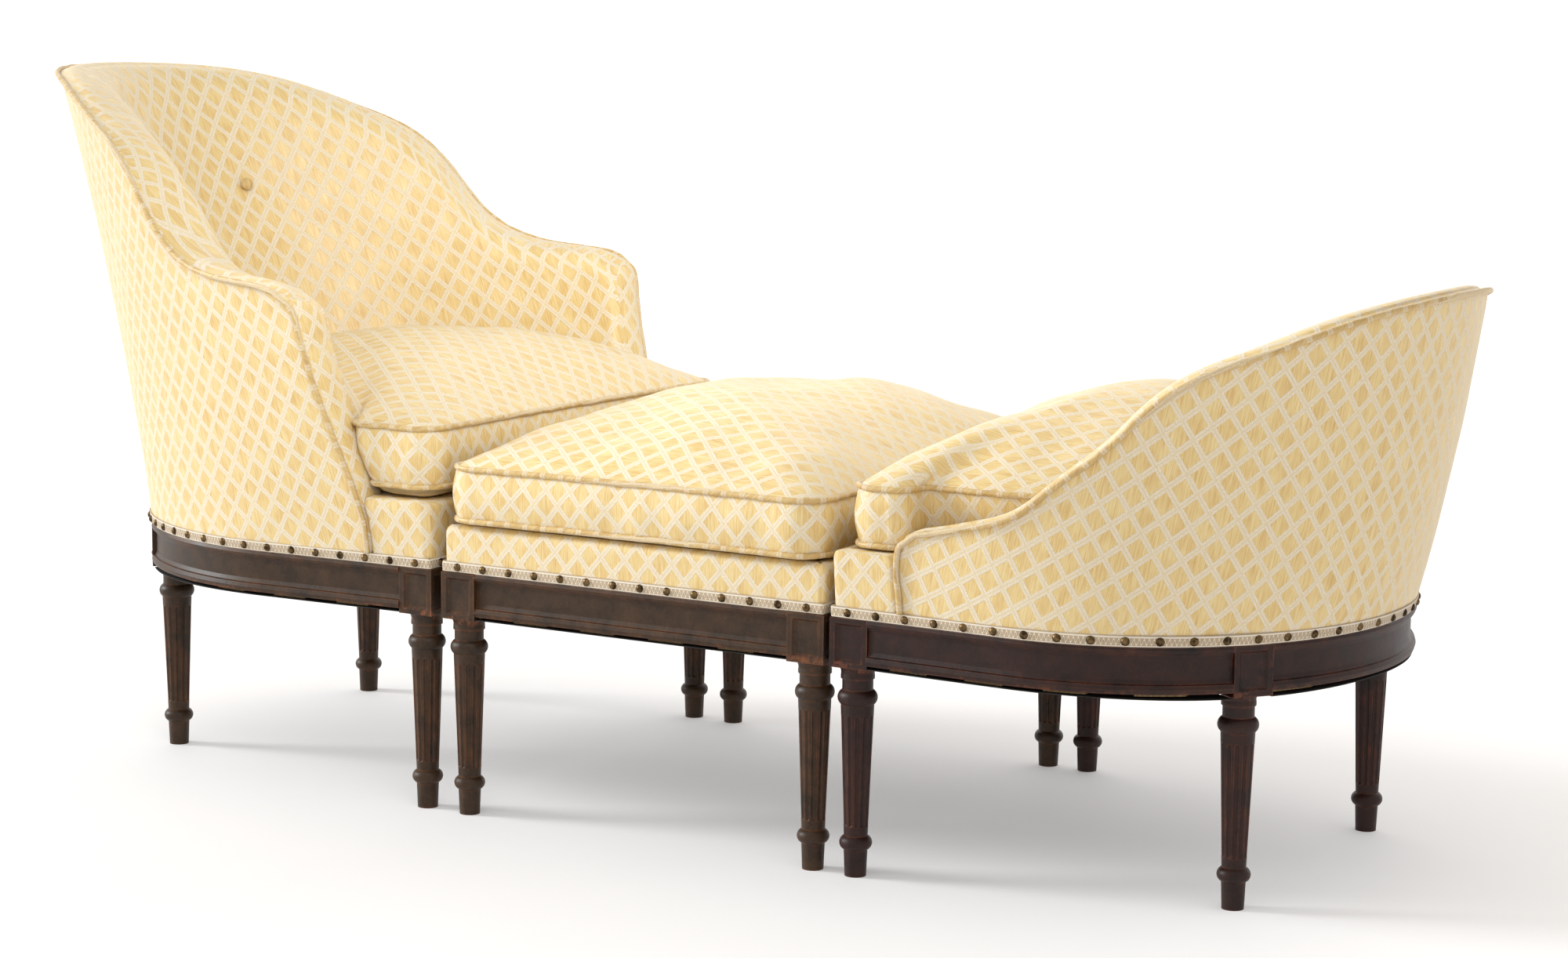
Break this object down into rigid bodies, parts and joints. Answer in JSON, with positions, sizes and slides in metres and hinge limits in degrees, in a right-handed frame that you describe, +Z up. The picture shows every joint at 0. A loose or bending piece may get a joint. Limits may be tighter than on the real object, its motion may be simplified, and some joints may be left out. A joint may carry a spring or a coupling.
{
  "type": "duchesse brisee",
  "caption": "Three-part upholstered chaise longue: a high tub chair, a square stool and a low tub chair in a row on turned legs, with loose cushions.",
  "frame": {"origin": "centre of the footprint, on the floor", "axes": "X runs along the row with the head chair at -X, Y across it, Z up"},
  "size_m": [2.1093, 0.8198, 0.9496],
  "materials": {
    "gold_damask": "woven gold silk with a cream lattice",
    "cream_braid": "looped gimp braid",
    "painted_wood": "worn grey-brown paint over dark wood",
    "plain_wood": "bare beech",
    "steel": "dull steel",
    "aged_brass": "dark bronzed",
    "jute": "woven jute",
    "black_cloth": "thin black cloth"
  },
  "bodies": {
    "head_chair": {"head_leg_front_left": "painted_wood", "head_leg_front_right": "painted_wood", "head_leg_rear_left": "painted_wood", "head_leg_rear_right": "painted_wood", "head_front_rail": "painted_wood", "head_side_rail_left": "painted_wood", "head_back_rail": "painted_wood", "head_side_rail_right": "painted_wood", "head_corner_blocks": "plain_wood", "head_corner_screws": "steel", "head_webbing": "jute", "head_springs": "steel", "head_dust_cover": "black_cloth", "head_deck": "gold_damask", "head_gimp": "cream_braid", "head_nails": "aged_brass", "head_back_frame": "plain_wood", "head_back_welt": "gold_damask", "head_outside_cover": "gold_damask", "head_back_padding": "gold_damask", "head_buttons": "gold_damask"},
    "ottoman": {"ottoman_leg_front_left": "painted_wood", "ottoman_leg_front_right": "painted_wood", "ottoman_leg_rear_left": "painted_wood", "ottoman_leg_rear_right": "painted_wood", "ottoman_front_rail": "painted_wood", "ottoman_side_rail_left": "painted_wood", "ottoman_back_rail": "painted_wood", "ottoman_side_rail_right": "painted_wood", "ottoman_corner_blocks": "plain_wood", "ottoman_corner_screws": "steel", "ottoman_webbing": "jute", "ottoman_springs": "steel", "ottoman_dust_cover": "black_cloth", "ottoman_deck": "gold_damask", "ottoman_gimp": "cream_braid", "ottoman_nails": "aged_brass"},
    "foot_chair": {"foot_leg_front_left": "painted_wood", "foot_leg_front_right": "painted_wood", "foot_leg_rear_left": "painted_wood", "foot_leg_rear_right": "painted_wood", "foot_front_rail": "painted_wood", "foot_side_rail_left": "painted_wood", "foot_back_rail": "painted_wood", "foot_side_rail_right": "painted_wood", "foot_corner_blocks": "plain_wood", "foot_corner_screws": "steel", "foot_webbing": "jute", "foot_springs": "steel", "foot_dust_cover": "black_cloth", "foot_deck": "gold_damask", "foot_gimp": "cream_braid", "foot_nails": "aged_brass", "foot_back_frame": "plain_wood", "foot_back_welt": "gold_damask", "foot_outside_cover": "gold_damask", "foot_back_padding": "gold_damask"},
    "head_cushion_body": {"head_cushion": "gold_damask"},
    "ottoman_cushion_body": {"ottoman_cushion": "gold_damask"},
    "foot_cushion_body": {"foot_cushion": "gold_damask"}
  },
  "joints": [
    {"name": "ottoman_slide", "type": "slide", "parent": "head_chair", "child": "ottoman", "axis": [1, 0, 0], "range_m": [0, 0.5]},
    {"name": "foot_chair_slide", "type": "slide", "parent": "ottoman", "child": "foot_chair", "axis": [1, 0, 0], "range_m": [0, 0.5]},
    {"name": "head_cushion_lift", "type": "slide", "parent": "head_chair", "child": "head_cushion_body", "axis": [0, 0, 1], "range_m": [0, 0.3]},
    {"name": "ottoman_cushion_lift", "type": "slide", "parent": "ottoman", "child": "ottoman_cushion_body", "axis": [0, 0, 1], "range_m": [0, 0.3]},
    {"name": "foot_cushion_lift", "type": "slide", "parent": "foot_chair", "child": "foot_cushion_body", "axis": [0, 0, 1], "range_m": [0, 0.25]}
  ]
}
